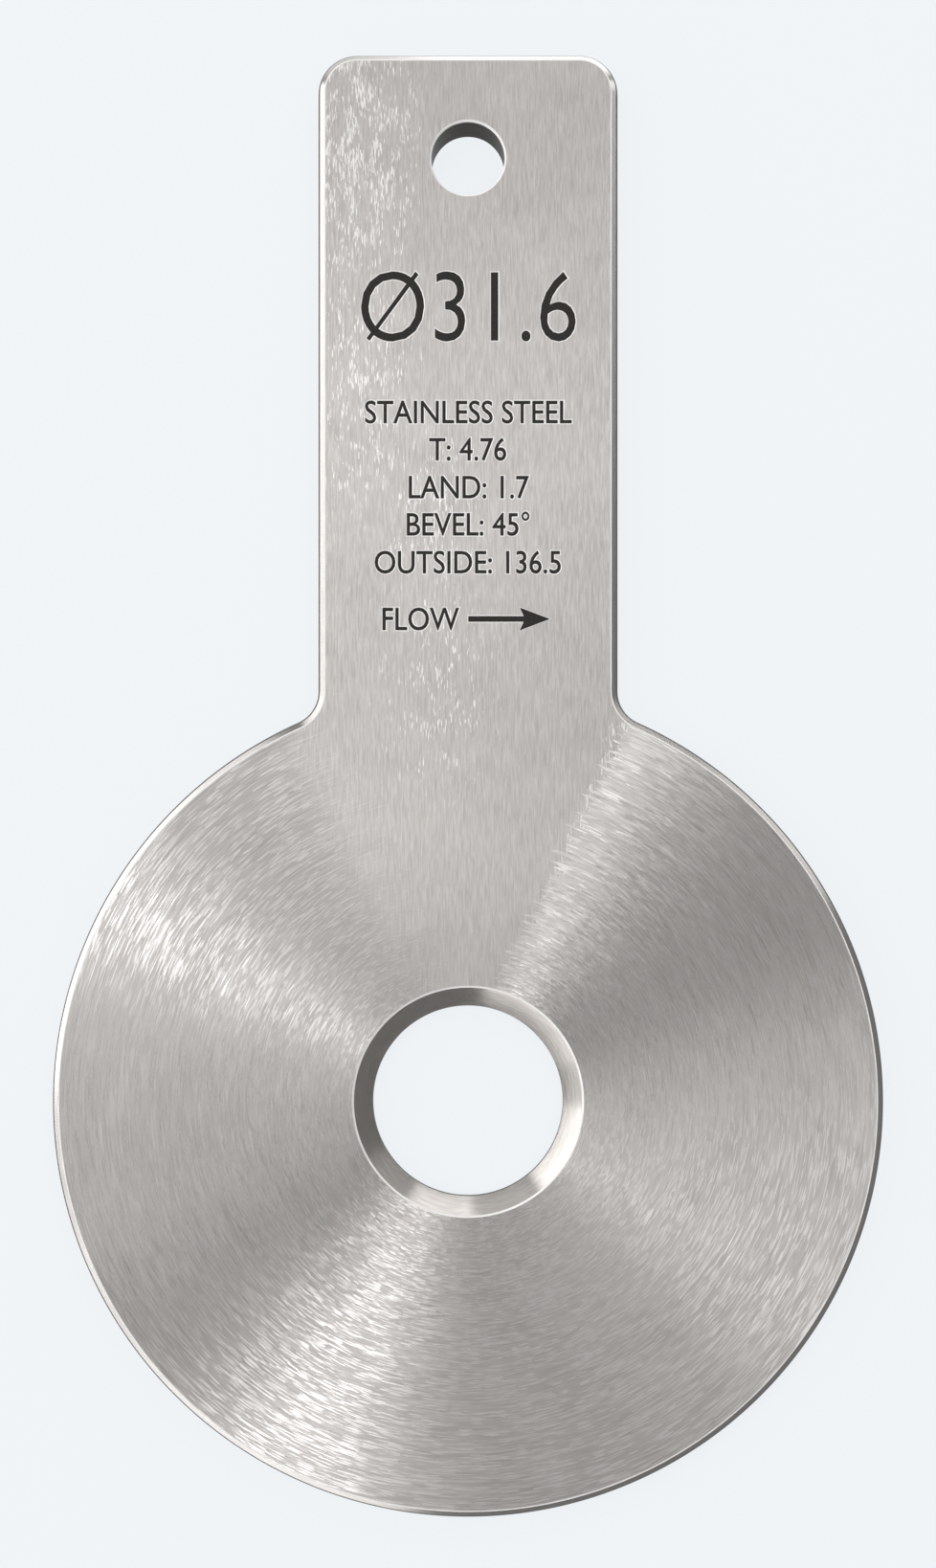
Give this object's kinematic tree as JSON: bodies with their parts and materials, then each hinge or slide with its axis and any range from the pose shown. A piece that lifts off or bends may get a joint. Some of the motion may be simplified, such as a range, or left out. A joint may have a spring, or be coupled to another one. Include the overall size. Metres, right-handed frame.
{
  "type": "orifice plate",
  "caption": "Flat round steel plate with a bevelled central bore and a straight tab with a hanging hole, clamped between pipe flanges to meter flow.",
  "frame": {"origin": "on the bore axis, in the flat upstream face that the plate lies on", "axes": "+Z along the bore axis, out of the bevelled downstream face; +Y along the tab, towards the hanging hole"},
  "size_m": [0.1364, 0.2401, 0.0048],
  "materials": {
    "brushed_stainless_steel": "satin"
  },
  "bodies": {
    "root": {"orifice_plate": "brushed_stainless_steel"}
  },
  "joints": []
}
